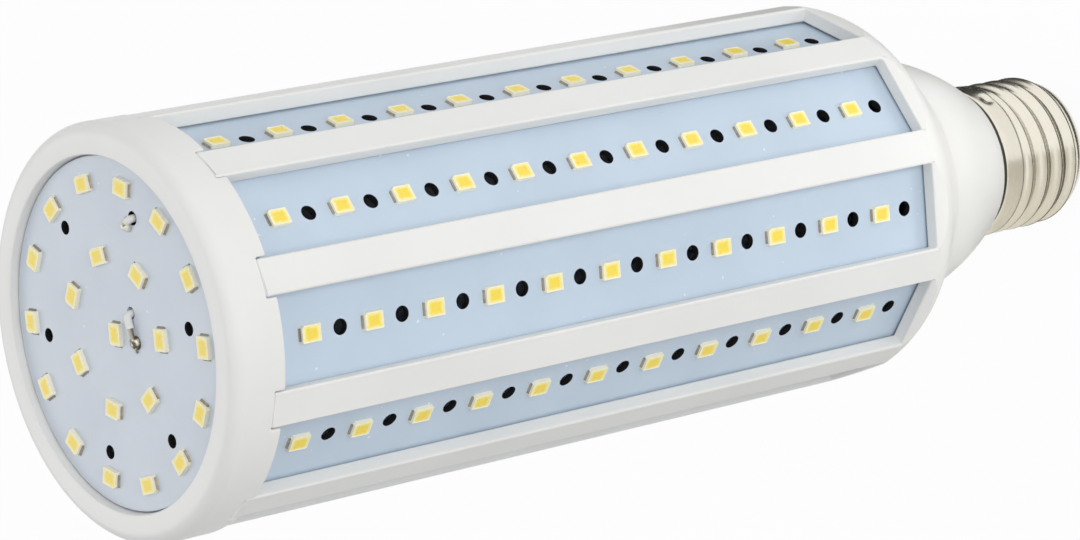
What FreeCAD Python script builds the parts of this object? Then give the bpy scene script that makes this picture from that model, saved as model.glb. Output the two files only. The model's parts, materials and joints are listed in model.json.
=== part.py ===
import FreeCAD
import Part
import math
import os
import re
import Sketcher

# Corn LED bulb with an E27 base, standing on its centre contact, axis along Z.

doc = FreeCAD.newDocument("corn_led_bulb")
sheet = doc.addObject("Spreadsheet::Sheet", "sizes")

# Driving sizes in millimetres, counts and degrees.
size = {
    # Base
    "contact_radius": 4.6,
    "contact_thick": 1.2,
    "insulator_rise": 3.4,
    "insulator_flange": 1.8,
    "insulator_bore": 1.7,
    "shell_sheet": 0.35,
    "shell_length": 21.4,
    "shell_lip": 0.75,
    "shell_curl": 2.0,
    "collar_step": 0.1,
    "collar_length": 4.8,
    "collar_slope": 0.8,
    "thread_crest": 13.15,
    "thread_depth": 0.95,
    "thread_pitch": 3.629,
    "thread_slit": 0.04,
    "thread_overrun": 1.1,
    # Neck and shoulder of the body
    "rim_gap": 0.3,
    "neck_step": 0.35,
    "neck_length": 19.9,
    "dome_radius": 48.0,
    "shoulder_radius": 21.7,
    "shoulder_length": 8.3,
    "cove_radius": 3.0,
    "neck_round": 0.6,
    "rear_round": 12.0,
    "rear_reach": 0.3,
    "rear_step": 3.0,
    "neck_wall": 2.4,
    "neck_floor": 1.6,
    "spigot_fit": 0.05,
    "spigot_gap": 0.25,
    "spigot_length": 14.0,
    "spigot_wall": 1.5,
    # Ribs and back ring
    "strip_count": 10,
    "rib_length": 134.5,
    "rib_rise": 2.85,
    "rib_flat": 5.28,
    "rib_web": 1.53,
    "rib_back": 2.0,
    "slot_lip": 0.95,
    "back_ring": 6.0,
    # Side boards
    "board_apothem": 28.4,
    "board_thick": 1.2,
    "board_fit": 0.1,
    "lip_gap": 0.3,
    "board_seat": 2.0,
    "board_end_gap": 0.3,
    "rear_lip": 1.4,
    "row_pitch": 11.545,
    "row_margin": 4.0,
    "first_hole": 4.35,
    "hole_bore": 2.5,
    "led_above_hole": 5.64,
    # LED packages
    "led_long": 3.5,
    "led_wide": 2.8,
    "led_tall": 0.7,
    "led_rim": 0.3,
    "led_recess": 0.08,
    # Cap ring and front board
    "cap_proud": 0.2,
    "cap_wall": 2.4,
    "cap_overlap": 1.85,
    "cap_rise": 7.3,
    "cap_round": 2.2,
    "cap_face": 2.7,
    "notch_fit": 0.15,
    "face_drop": 1.5,
    "front_fit": 0.3,
    "front_thick": 1.2,
    "ledge_width": 2.0,
    "ledge_thick": 1.2,
    "outer_leds": 14,
    "outer_led_inset": 3.9,
    "outer_led_turn": 7.7,
    "inner_leds": 7,
    "inner_led_radius": 12.0,
    "inner_led_turn": 34.1,
    "centre_led_turn": 160,
    "vent_inset": 3.8,
    "vent_bore": 2.2,
    "link_turn": 50.9,
    "vent_turn_a": 109.1,
    "vent_turn_b": 167.3,
    "vent_turn_c": 236.6,
    "vent_turn_d": 290.3,
    "vent_turn_e": 349.1,
    "feed_radius": 5.4,
    "feed_turn": 22.5,
    "feed_bore": 2.0,
    "feed_pad_radius": 5.0,
    "feed_pad_turn": 331.4,
    "link_pad_inset": 1.5,
    "link_pad_turn": 54.2,
    # Driver
    "driver_thick": 1.6,
    "guide_depth": 0.5,
    "driver_length": 52.0,
    "driver_fit": 0.1,
    "driver_floor": 1.0,
    "bulk_radius": 5.0,
    "bulk_length": 16.0,
    "bulk_shift": 4.0,
    "bulk_drop": 10.0,
    "film_wide": 9.0,
    "film_deep": 4.5,
    "film_tall": 8.0,
    "inductor_radius": 4.5,
    "inductor_length": 9.0,
    "inductor_shift": 2.0,
    "inductor_drop": 6.0,
    "bridge_wide": 4.7,
    "bridge_deep": 1.6,
    "bridge_tall": 3.9,
    "bridge_shift": 2.5,
    "bridge_drop": 5.0,
    "chip_wide": 4.9,
    "chip_deep": 1.5,
    "chip_tall": 3.9,
    "chip_shift": 8.0,
    "chip_gap": 3.1,
    "fuse_radius": 1.7,
    "fuse_length": 8.0,
    "fuse_lift": 4.0,
    # Leads
    "lead_radius": 0.6,
    "lead_lift": 0.05,
    "lead_lap": 6.0,
    "solder_radius": 1.1,
    "solder_tall": 1.0,
    "jumper_drop": 1.6,
    "jumper_reach": 5.0,
    "return_rise": 1.8,
}

for row, (name, amount) in enumerate(size.items(), 1):
    sheet.set(f"A{row}", name)
    sheet.set(f"B{row}", str(amount))
    sheet.setAlias(f"B{row}", name)
doc.recompute()

# Heights and radii that follow from the driving sizes.
place = {
    "shell_bottom": "contact_thick + insulator_rise",
    "rim": "shell_bottom + shell_length",
    "collar_bottom": "rim - collar_length",
    "root": "thread_crest - thread_depth",
    "tube_outer": "root - shell_sheet / 7",
    "tube_inner": "root - shell_sheet",
    "shell_mouth": "tube_outer - shell_curl - shell_lip",
    "collar_radius": "thread_crest + collar_step",
    "collar_inner": "collar_radius - shell_sheet",
    "neck_radius": "collar_radius + neck_step",
    "neck_foot": "rim + rim_gap",
    "shoulder_foot": "rim + neck_length",
    "ring_rear": "shoulder_foot + shoulder_length",
    "window_end": "ring_rear + back_ring",
    "rib_end": "window_end + rib_length",
    "rib_plane": "board_apothem + rib_rise",
    "half_turn": "180 deg / strip_count",
    "facet_half": "rib_flat / 2",
    "rib_face": "(rib_plane - facet_half * sin(half_turn)) / cos(half_turn)",
    "outer_radius": "rib_face + rear_reach",
    "shoulder_top": "outer_radius - rear_step",
    "rear_span": "sqrt(rear_round ^ 2 - (shoulder_top - outer_radius + rear_round) ^ 2)",
    "spigot_bottom": "rim - spigot_length",
    "spigot_outer": "tube_inner - spigot_gap",
    "spigot_inner": "spigot_outer - spigot_wall",
    "spigot_step": "collar_bottom + thread_overrun + spigot_gap",
    "shoulder_slope": "shoulder_length / (shoulder_top - shoulder_radius)",
    "bore_foot": "shoulder_foot + (cage_bore + neck_wall - shoulder_radius) * shoulder_slope",
    "board_back": "board_apothem - board_thick",
    "cage_bore": "board_back - rib_back",
    "slot_half": "(board_back - board_fit) * tan(half_turn) - rib_web / 2 / cos(half_turn)",
    "board_width": "2 * (slot_half - board_fit)",
    "window_width": "2 * (slot_half - slot_lip)",
    "board_foot": "window_end - board_seat",
    "cap_radius": "rib_face + cap_proud",
    "cap_rear": "rib_end - cap_overlap",
    "cap_front": "rib_end + cap_rise",
    "front_face": "cap_front - face_drop",
    "front_back": "front_face - front_thick",
    "ledge_under": "front_back - ledge_thick",
    "cap_opening": "cap_radius - cap_round - cap_face",
    "front_radius": "cap_opening - front_fit",
    "outer_led_radius": "front_radius - outer_led_inset",
    "vent_radius": "outer_led_radius - vent_inset",
    "link_pad_radius": "vent_radius - link_pad_inset",
    "ledge_radius": "front_radius - ledge_width",
    "cap_cavity": "cap_radius - cap_wall",
    "board_top": "ledge_under - board_end_gap",
    "rib_half": "(rib_plane * tan(half_turn) - window_width / 2) * cos(half_turn)",
    "notch_half": "rib_half + notch_fit",
    "hole_height": "window_end + first_hole",
    "led_height": "hole_height + led_above_hole",
    "row_space": "cap_rear - row_margin - led_long / 2 - led_height",
    "row_count": "floor(row_space / row_pitch) + 1",
    "row_length": "row_pitch * (row_count - 1)",
    "driver_foot": "spigot_bottom + driver_floor",
    "driver_front": "feed_radius * sin(feed_turn * 1 deg) - lead_radius",
    "driver_back": "driver_front - driver_thick",
    "driver_half": "spigot_inner + guide_depth",
    "driver_width": "2 * driver_half",
    "driver_top": "driver_foot + driver_length",
    "bulk_foot": "shoulder_foot - bulk_drop",
    "bulk_top": "bulk_foot + bulk_length",
    "thread_foot": "shell_bottom + shell_curl",
    "thread_width": "thread_pitch - thread_slit",
    "wave_radius": "((thread_width / 4) ^ 2 + (thread_depth / 2) ^ 2) / thread_depth",
    "thread_rise": "collar_bottom + thread_overrun - thread_foot - thread_width",
    "insulator_top": "shell_bottom + shell_sheet + insulator_flange",
    "lead_height": "front_face + lead_radius + lead_lift",
}


def bound(text):
    def swap(match):
        word = match.group(0)
        if word in place:
            return f"({bound(place[word])})"
        if word in size:
            return f"sizes.{word}"
        return word
    return re.sub(r"[a-z_]+", swap, str(text))


def number(text):
    return float(sheet.evalExpression(bound(text).replace("sizes.", "")))


def new_body(name):
    body = doc.addObject("PartDesign::Body", name)
    body.Label = name
    return body


def origin_item(body, role):
    return next(item for item in body.Origin.OriginFeatures if item.Role == role)


def new_sketch(body, name, role, height="0", angle=None):
    sketch = body.newObject("Sketcher::SketchObject", name)
    sketch.AttachmentSupport = (origin_item(body, role), [""])
    sketch.MapMode = "FlatFace"
    sketch.setExpression(".AttachmentOffset.Base.z", bound(height))
    if angle:
        upright = FreeCAD.Rotation(FreeCAD.Vector(0, 0, 1), 1)
        sketch.AttachmentOffset = FreeCAD.Placement(FreeCAD.Vector(), upright)
        sketch.setExpression(".AttachmentOffset.Rotation.Angle", bound(angle))
    return sketch


def fix_point(sketch, item, end, corner):
    for kind, axis, text in (("DistanceX", -2, corner[0]), ("DistanceY", -1, corner[1])):
        if text == "0":
            sketch.addConstraint(Sketcher.Constraint("PointOnObject", item, end, axis))
        else:
            row = sketch.addConstraint(Sketcher.Constraint(kind, -1, 1, item, end, number(text)))
            sketch.setExpression(f"Constraints[{row}]", bound(text))


def add_outline(sketch, corners, arcs=None):
    # Closed outline through the corners; arcs maps an edge to its radius and the side it bulges to.
    arcs = arcs or {}
    points = [FreeCAD.Vector(number(x), number(y), 0) for x, y in corners]
    ends = []
    for index, start in enumerate(points):
        finish = points[(index + 1) % len(points)]
        if index in arcs:
            radius, side = arcs[index]
            chord = finish - start
            half = chord.Length / 2
            sag = number(radius) - math.sqrt(number(radius) ** 2 - half ** 2)
            across = FreeCAD.Vector(chord.y, -chord.x, 0).normalize()
            middle = start + chord * 0.5 + across * sag * side
            item = sketch.addGeometry(Part.Arc(start, middle, finish))
            row = sketch.addConstraint(Sketcher.Constraint("Radius", item, number(radius)))
            sketch.setExpression(f"Constraints[{row}]", bound(radius))
        else:
            item = sketch.addGeometry(Part.LineSegment(start, finish))
        forward = sketch.getPoint(item, 1).distanceToPoint(start) < 1e-6
        ends.append((item, 1, 2) if forward else (item, 2, 1))
    for index, (item, first, last) in enumerate(ends):
        after, after_first, _ = ends[(index + 1) % len(ends)]
        sketch.addConstraint(Sketcher.Constraint("Coincident", item, last, after, after_first))
    for (item, first, last), corner in zip(ends, corners):
        fix_point(sketch, item, first, corner)
    return sketch


def add_rectangle(sketch, x_low, x_high, y_low, y_high):
    return add_outline(sketch, [(x_low, y_low), (x_high, y_low), (x_high, y_high), (x_low, y_high)])


def add_circle(sketch, centre, radius):
    middle = FreeCAD.Vector(number(centre[0]), number(centre[1]), 0)
    item = sketch.addGeometry(Part.Circle(middle, FreeCAD.Vector(0, 0, 1), number(radius)))
    row = sketch.addConstraint(Sketcher.Constraint("Radius", item, number(radius)))
    sketch.setExpression(f"Constraints[{row}]", bound(radius))
    fix_point(sketch, item, 3, centre)
    return sketch


def pad(body, name, sketch, length, reverse=False):
    feature = body.newObject("PartDesign::Pad", name)
    feature.Profile = sketch
    feature.Reversed = reverse
    feature.setExpression("Length", bound(length))
    doc.recompute()
    return feature


def cut(body, name, kind, sketch, length=None, reverse=False):
    before = body.Shape.Volume
    feature = body.newObject(f"PartDesign::{kind}", name)
    feature.Profile = sketch
    feature.Reversed = reverse
    if kind == "Groove":
        feature.ReferenceAxis = (sketch, ["V_Axis"])
        feature.Angle = 360
    else:
        feature.setExpression("Length", bound(length))
    doc.recompute()
    if not body.Shape.Volume < before - 1e-6:
        raise RuntimeError(f"{name} cuts nothing")
    return feature


def revolve(body, name, corners, arcs=None):
    sketch = add_outline(new_sketch(body, f"{name}_outline", "XZ_Plane"), corners, arcs)
    feature = body.newObject("PartDesign::Revolution", name)
    feature.Profile = sketch
    feature.ReferenceAxis = (sketch, ["V_Axis"])
    feature.Angle = 360
    doc.recompute()
    return feature


def around(body, name, originals, count):
    pattern = body.newObject("PartDesign::PolarPattern", name)
    pattern.Originals = originals
    pattern.Axis = (origin_item(body, "Z_Axis"), [""])
    pattern.Angle = 360
    pattern.setExpression("Occurrences", bound(count))
    body.Tip = pattern
    doc.recompute()
    return pattern


def along(body, name, originals, count, length):
    pattern = body.newObject("PartDesign::LinearPattern", name)
    pattern.Originals = originals
    pattern.Direction = (origin_item(body, "Z_Axis"), [""])
    pattern.setExpression("Length", bound(length))
    pattern.setExpression("Occurrences", bound(count))
    body.Tip = pattern
    doc.recompute()
    return pattern


def turn(item, angle):
    item.Placement = FreeCAD.Placement(FreeCAD.Vector(), FreeCAD.Rotation(FreeCAD.Vector(0, 0, 1), 1))
    item.setExpression(".Placement.Rotation.Angle", bound(angle))
    doc.recompute()


def round_edge(body, name, feature, radius, edge_radius, edge_height):
    def matches(edge):
        curve = edge.Curve
        if not isinstance(curve, Part.Circle):
            return False
        apart = abs(curve.Radius - number(edge_radius)) + abs(curve.Center.z - number(edge_height))
        return apart < 1e-4
    names = [f"Edge{i}" for i, edge in enumerate(feature.Shape.Edges, 1) if matches(edge)]
    fillet = body.newObject("PartDesign::Fillet", name)
    fillet.Base = (feature, names)
    fillet.setExpression("Radius", bound(radius))
    doc.recompute()
    return fillet


def make_contact():
    body = new_body("centre_contact")
    revolve(body, "contact_disc", [
        ("0", "0"),
        ("contact_radius - contact_thick / 2", "0"),
        ("contact_radius", "contact_thick / 2"),
        ("contact_radius", "contact_thick"),
        ("0", "contact_thick"),
    ])
    return body


def make_insulator():
    body = new_body("base_insulator")
    seat = "shell_bottom + shell_sheet"
    revolve(body, "insulator_cone", [
        ("insulator_bore", "contact_thick"),
        ("contact_radius + contact_thick", "contact_thick"),
        ("shell_mouth - spigot_fit", "shell_bottom"),
        ("shell_mouth - spigot_fit", seat),
        ("tube_inner - shell_curl + shell_sheet", seat),
        ("tube_inner - shell_curl + shell_sheet", "insulator_top"),
        ("insulator_bore", "insulator_top"),
    ])
    return body


def make_shell():
    body = new_body("screw_shell")
    curl_inner = "shell_curl - shell_sheet"
    revolve(body, "shell_tube", [
        ("collar_radius", "rim"),
        ("collar_inner", "rim"),
        ("collar_inner", "collar_bottom"),
        ("tube_inner", "collar_bottom - collar_slope"),
        ("tube_inner", "thread_foot"),
        (f"tube_inner - ({curl_inner})", "shell_bottom + shell_sheet"),
        ("shell_mouth", "shell_bottom + shell_sheet"),
        ("shell_mouth", "shell_bottom"),
        ("tube_outer - shell_curl", "shell_bottom"),
        ("tube_outer", "thread_foot"),
        ("tube_outer", "collar_bottom - collar_slope"),
        ("collar_radius", "collar_bottom"),
    ], {4: (curl_inner, -1), 8: ("shell_curl", 1)})
    # The rolled thread is a wave of equal arcs that runs up into the collar.
    sheet_middle = "(tube_inner + tube_outer) / 2"
    flank = "root + thread_depth / 2"
    sketch = add_outline(new_sketch(body, "thread_section", "XZ_Plane"), [
        (sheet_middle, "thread_foot"),
        ("root", "thread_foot"),
        (flank, "thread_foot + thread_width / 4"),
        (flank, "thread_foot + 3 * thread_width / 4"),
        ("root", "thread_foot + thread_width"),
        (sheet_middle, "thread_foot + thread_width"),
    ], {1: ("wave_radius", -1), 2: ("wave_radius", 1), 3: ("wave_radius", -1)})
    thread = body.newObject("PartDesign::AdditiveHelix", "thread")
    thread.Profile = sketch
    thread.ReferenceAxis = (sketch, ["V_Axis"])
    thread.Mode = "pitch-height-angle"
    thread.setExpression("Pitch", bound("thread_pitch"))
    thread.setExpression("Height", bound("thread_rise"))
    doc.recompute()
    return body


def rib_corners():
    corners = []
    for rib in range(int(size["strip_count"])):
        angle = f"({2 * rib} * half_turn)"
        for side in ("-", "+"):
            across = f"{side} facet_half"
            corners.append((
                f"rib_face * cos({angle}) - ({across}) * sin({angle})",
                f"rib_face * sin({angle}) + ({across}) * cos({angle})",
            ))
    return corners


def make_body():
    body = new_body("lamp_body")
    hull = revolve(body, "hull", [
        ("0", "spigot_bottom"),
        ("spigot_outer", "spigot_bottom"),
        ("spigot_outer", "spigot_step"),
        ("collar_inner - spigot_fit", "spigot_step"),
        ("collar_inner - spigot_fit", "neck_foot"),
        ("neck_radius", "neck_foot"),
        ("shoulder_radius", "shoulder_foot"),
        ("shoulder_top", "ring_rear"),
        ("outer_radius", "ring_rear + rear_span"),
        ("outer_radius", "rib_end"),
        ("0", "rib_end"),
    ], {5: ("dome_radius", 1), 7: ("rear_round", 1)})
    cove = round_edge(body, "cove", hull, "cove_radius", "shoulder_radius", "shoulder_foot")
    round_edge(body, "neck_edge", cove, "neck_round", "neck_radius", "neck_foot")
    # Flat rib faces and window planes all round.
    flats = new_sketch(body, "flats_outline", "XY_Plane", "ring_rear")
    add_circle(flats, ("0", "0"), "outer_radius + rib_rise")
    add_outline(flats, rib_corners())
    cut(body, "flats", "Pocket", flats, "rib_end - ring_rear + rib_rise", True)
    # Hollow from the spigot to the rib ends.
    hollow = add_outline(new_sketch(body, "hollow_outline", "XZ_Plane"), [
        ("0", "spigot_bottom"),
        ("spigot_inner", "spigot_bottom"),
        ("spigot_inner", "rim + neck_floor"),
        ("shoulder_radius - neck_wall", "shoulder_foot"),
        ("cage_bore", "bore_foot"),
        ("cage_bore", "rib_end"),
        ("0", "rib_end"),
    ], {2: ("dome_radius", 1)})
    cut(body, "hollow", "Groove", hollow)
    guide = new_sketch(body, "guide_outline", "XY_Plane", "driver_foot")
    add_rectangle(guide, "-(driver_half + driver_fit)", "driver_half + driver_fit",
                  "driver_back - driver_fit", "driver_front + driver_fit")
    cut(body, "guide", "Pocket", guide, "shoulder_foot - driver_foot", True)
    # One window with the slot that its board slides into, repeated round the cage.
    window = new_sketch(body, "window_outline", "XY_Plane", "window_end", "half_turn")
    add_rectangle(window, "board_apothem", "outer_radius + rib_rise",
                  "-window_width / 2", "window_width / 2")
    window_cut = cut(body, "window", "Pocket", window, "rib_length + rib_rise", True)
    slot = new_sketch(body, "slot_outline", "XY_Plane", "board_foot", "half_turn")
    add_rectangle(slot, "board_back - board_fit", "board_apothem + lip_gap",
                  "-slot_half", "slot_half")
    slot_cut = cut(body, "slot", "Pocket", slot, "rib_length + board_seat + rib_rise", True)
    rear = new_sketch(body, "rear_outline", "XY_Plane", "window_end", "half_turn")
    add_rectangle(rear, "cage_bore / 2", "board_back",
                  "rear_lip - board_width / 2", "board_width / 2 - rear_lip")
    rear_cut = cut(body, "rear", "Pocket", rear, "rib_length + rib_rise", True)
    around(body, "windows", [window_cut, slot_cut, rear_cut], "strip_count")
    return body


def make_cap():
    body = new_body("cap_ring")
    revolve(body, "ring", [
        ("cap_radius", "cap_rear"),
        ("cap_radius", "cap_front - cap_round"),
        ("cap_radius - cap_round", "cap_front"),
        ("cap_opening", "cap_front"),
        ("cap_opening", "front_back"),
        ("ledge_radius", "front_back"),
        ("ledge_radius", "ledge_under"),
        ("cap_cavity", "ledge_under"),
        ("cap_cavity", "cap_rear"),
    ], {1: ("cap_round", 1)})
    sketch = new_sketch(body, "notch_outline", "XY_Plane", "cap_rear")
    add_rectangle(sketch, "cap_cavity - cap_wall", "cap_radius + cap_wall", "-notch_half", "notch_half")
    notch = cut(body, "notch", "Pocket", sketch, "cap_overlap", True)
    around(body, "notches", [notch], "strip_count")
    return body


def make_side_board(index):
    body = new_body(f"side_board_{index + 1:02d}")
    sketch = new_sketch(body, f"blank_{index}", "YZ_Plane", "board_back")
    add_rectangle(sketch, "-board_width / 2", "board_width / 2", "board_foot", "board_top")
    pad(body, f"board_{index}", sketch, "board_thick")
    sketch = new_sketch(body, f"vent_{index}", "YZ_Plane", "board_apothem")
    add_circle(sketch, ("0", "hole_height"), "hole_bore / 2")
    hole = cut(body, f"vent_hole_{index}", "Pocket", sketch, "board_thick")
    along(body, f"vent_row_{index}", [hole], "row_count", "row_length")
    turn(body, f"{2 * index + 1} * half_turn")
    return body


def led_pair(body, name, role, height, angle, low, high):
    # A package block and the shallow recess of its window.
    sketch = new_sketch(body, f"{name}_block", role, height, angle)
    add_rectangle(sketch, low[0], high[0], low[1], high[1])
    block = pad(body, f"{name}_package", sketch, "led_tall")
    sketch = new_sketch(body, f"{name}_window", role, f"{height} + led_tall", angle)
    add_rectangle(sketch, f"{low[0]} + led_rim", f"{high[0]} - led_rim",
                  f"{low[1]} + led_rim", f"{high[1]} - led_rim")
    recess = cut(body, f"{name}_recess", "Pocket", sketch, "led_recess")
    return [block, recess]


def make_side_leds(index):
    body = new_body(f"side_leds_{index + 1:02d}")
    body.AllowCompound = True
    low = ("-led_wide / 2", "led_height - led_long / 2")
    high = ("led_wide / 2", "led_height + led_long / 2")
    pair = led_pair(body, f"led_{index}", "YZ_Plane", "board_apothem", None, low, high)
    along(body, f"led_row_{index}", pair, "row_count", "row_length")
    turn(body, f"{2 * index + 1} * half_turn")
    return body


def make_front_board():
    body = new_body("front_board")
    sketch = new_sketch(body, "disc_outline", "XY_Plane", "front_back")
    add_circle(sketch, ("0", "0"), "front_radius")
    pad(body, "disc", sketch, "front_thick")
    sketch = new_sketch(body, "feed_outline", "XY_Plane", "front_face", "feed_turn * 1 deg")
    add_circle(sketch, ("feed_radius", "0"), "feed_bore / 2")
    cut(body, "feed_hole", "Pocket", sketch, "front_thick")
    # The link lead comes through one of the vents, which are unevenly spread.
    turns = ("vent_turn_a", "vent_turn_b", "vent_turn_c", "vent_turn_d", "vent_turn_e", "link_turn")
    for angle in turns:
        sketch = new_sketch(body, f"{angle}_outline", "XY_Plane", "front_face", f"{angle} * 1 deg")
        add_circle(sketch, ("vent_radius", "0"), "vent_bore / 2")
        cut(body, f"{angle}_vent", "Pocket", sketch, "front_thick")
    return body


def make_front_leds():
    body = new_body("front_leds")
    body.AllowCompound = True
    rings = (
        ("outer", "outer_led_radius", "outer_leds", "outer_led_turn"),
        ("inner", "inner_led_radius", "inner_leds", "inner_led_turn"),
    )
    low = ("-led_wide / 2", "-led_long / 2")
    high = ("led_wide / 2", "led_long / 2")
    led_pair(body, "centre_led", "XY_Plane", "front_face", "centre_led_turn * 1 deg", low, high)
    for name, radius, count, angle in rings:
        low = (f"{radius} - led_wide / 2", "-led_long / 2")
        high = (f"{radius} + led_wide / 2", "led_long / 2")
        pair = led_pair(body, f"{name}_led", "XY_Plane", "front_face", f"{angle} * 1 deg", low, high)
        around(body, f"{name}_ring", pair, count)
    return body


def put(item, name, x, y, z):
    item.Label = name
    for axis, text in zip("xyz", (x, y, z)):
        item.setExpression(f".Placement.Base.{axis}", bound(text))
    return item


def make_box(name, wide, deep, tall, x, y, z):
    item = doc.addObject("Part::Box", name)
    for key, text in (("Length", wide), ("Width", deep), ("Height", tall)):
        item.setExpression(key, bound(text))
    return put(item, name, x, y, z)


def make_cylinder(name, radius, length, x, y, z, rotation=FreeCAD.Rotation()):
    item = doc.addObject("Part::Cylinder", name)
    item.Placement = FreeCAD.Placement(FreeCAD.Vector(), rotation)
    item.setExpression("Radius", bound(radius))
    item.setExpression("Height", bound(length))
    return put(item, name, x, y, z)


def make_driver():
    to_back = FreeCAD.Rotation(FreeCAD.Vector(1, 0, 0), 90)
    return [
        make_box("driver_board", "driver_width", "driver_thick", "driver_length",
                 "-driver_half", "driver_back", "driver_foot"),
        make_cylinder("bulk_capacitor", "bulk_radius", "bulk_length",
                      "-bulk_shift", "driver_front + bulk_radius", "bulk_foot"),
        make_box("film_capacitor", "film_wide", "film_deep", "film_tall",
                 "-film_wide", "driver_back - film_deep", "shoulder_foot"),
        make_cylinder("inductor", "inductor_radius", "inductor_length",
                      "inductor_shift", "driver_back", "shoulder_foot - inductor_drop", to_back),
        make_box("bridge_rectifier", "bridge_wide", "bridge_deep", "bridge_tall",
                 "bridge_shift", "driver_back - bridge_deep", "rim - bridge_drop"),
        make_box("driver_chip", "chip_wide", "chip_deep", "chip_tall",
                 "-chip_shift", "driver_front", "bulk_top + chip_gap"),
        make_cylinder("fuse_resistor", "fuse_radius", "fuse_length",
                      "-bulk_shift", "driver_front + fuse_radius", "driver_foot + fuse_lift"),
    ]


def wire(points):
    # Round wire through the points, with round elbows.
    radius = number("lead_radius")
    solid = None
    for start, finish in zip(points, points[1:]):
        run = Part.makeCylinder(radius, start.distanceToPoint(finish), start, finish - start)
        solid = run if solid is None else solid.fuse(run).fuse(Part.makeSphere(radius, start))
    return solid


def solder(point, direction):
    return Part.makeCylinder(number("solder_radius"), number("solder_tall"), point, direction)


def make_lead(name, shapes):
    item = doc.addObject("Part::Feature", name)
    item.Label = name
    shape = shapes[0]
    for other in shapes[1:]:
        shape = shape.fuse(other)
    item.Shape = shape.removeSplitter()
    return item


def polar_point(radius, angle, height):
    reach = FreeCAD.Vector(number(radius), 0, number(height))
    return FreeCAD.Rotation(FreeCAD.Vector(0, 0, 1), number(angle)).multVec(reach)


def strip_point(index, apothem, across, height):
    turned = FreeCAD.Rotation(FreeCAD.Vector(0, 0, 1), (2 * index + 1) * 180 / size["strip_count"])
    return turned.multVec(FreeCAD.Vector(apothem, across, height))


def make_leads():
    up = FreeCAD.Vector(0, 0, 1)
    on_face = number("lead_height")
    back_y = number("driver_back - lead_radius")
    lap_top = number("driver_foot + lead_lap")
    live = make_lead("live_lead", [wire([
        FreeCAD.Vector(0, back_y, number("contact_thick")),
        FreeCAD.Vector(0, back_y, lap_top),
    ])])

    low = number("(spigot_bottom + insulator_top) / 2")
    inset = -number("driver_half - 3 * lead_radius")
    reach = -math.sqrt(number("tube_inner - spigot_fit") ** 2 - back_y ** 2)
    neutral = make_lead("neutral_lead", [wire([
        FreeCAD.Vector(inset, back_y, lap_top),
        FreeCAD.Vector(inset, back_y, low),
        FreeCAD.Vector(reach, back_y, low),
    ])])

    hole = polar_point("feed_radius", "feed_turn", "lead_height")
    pad_spot = polar_point("feed_pad_radius", "feed_pad_turn", "front_face")
    feed = make_lead("feed_lead", [
        wire([
            FreeCAD.Vector(hole.x, hole.y, number("driver_top - lead_lap")),
            hole,
            FreeCAD.Vector(pad_spot.x, pad_spot.y, on_face),
        ]),
        solder(pad_spot, up),
    ])

    # The link lead goes from the front board to the side board nearest its hole.
    step = 360 / size["strip_count"]
    first = int(size["link_turn"] // step)
    jumper_height = number("board_top - jumper_drop")
    back = number("board_back")
    hole = polar_point("vent_radius", "link_turn", "lead_height")
    pad_spot = polar_point("link_pad_radius", "link_pad_turn", "front_face")
    off_middle = math.radians(size["link_turn"] - (first + 0.5) * step)
    across = number("vent_radius") * math.sin(off_middle)
    joint = strip_point(first, back, across, jumper_height)
    inward = strip_point(first, -1, 0, 0)
    link = make_lead("link_lead", [
        wire([
            FreeCAD.Vector(pad_spot.x, pad_spot.y, on_face),
            hole,
            FreeCAD.Vector(hole.x, hole.y, jumper_height),
            joint + inward * number("lead_radius"),
        ]),
        solder(pad_spot, up),
        solder(joint, inward),
    ])

    # Jumpers run round from the link's board to the board before it.
    count = int(size["strip_count"])
    run = number("board_back - lead_radius")
    side = number("jumper_reach")
    jumpers = []
    for index in range(first, first + count - 1):
        ends = ((index, side), (index + 1, -side))
        joined = wire([strip_point(i, run, t, jumper_height) for i, t in ends])
        for i, t in ends:
            joined = joined.fuse(solder(strip_point(i, back, t, jumper_height), strip_point(i, -1, 0, 0)))
        jumpers.append(joined.removeSplitter())
    group = doc.addObject("Part::Feature", "board_jumpers")
    group.Label = "board_jumpers"
    group.Shape = Part.makeCompound(jumpers)

    last = first + count - 1
    height = number("driver_top - lead_lap / 2")
    joint = strip_point(last, back, -side, number("window_end + return_rise"))
    inward = strip_point(last, -1, 0, 0)
    returning = make_lead("return_lead", [
        wire([
            FreeCAD.Vector(-inset, number("driver_front + lead_radius"), height),
            joint + inward * number("lead_radius"),
        ]),
        solder(joint, inward),
    ])
    return [live, neutral, feed, link, group, returning]


strips = range(int(size["strip_count"]))
pieces = [make_contact(), make_insulator(), make_shell(), make_body(), make_cap()]
pieces += [make_side_board(index) for index in strips]
pieces += [make_side_leds(index) for index in strips]
pieces += [make_front_board(), make_front_leds()]
pieces += make_driver()
doc.recompute()
pieces += make_leads()
doc.recompute()

for item in doc.Objects:
    if {"Invalid", "Error"} & set(item.State):
        raise RuntimeError(f"{item.Label} failed: {item.State}")
for item in pieces:
    if item.Shape.isNull() or not item.Shape.isValid():
        raise RuntimeError(f"{item.Label} has no valid shape")

os.makedirs("parts", exist_ok=True)
for item in pieces:
    item.Shape.exportStep(f"parts/{item.Label}.step")
    print(item.Label, len(item.Shape.Solids), round(item.Shape.Volume, 1))
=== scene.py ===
import json
import math

import bmesh
import bpy
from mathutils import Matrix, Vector, noise


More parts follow.
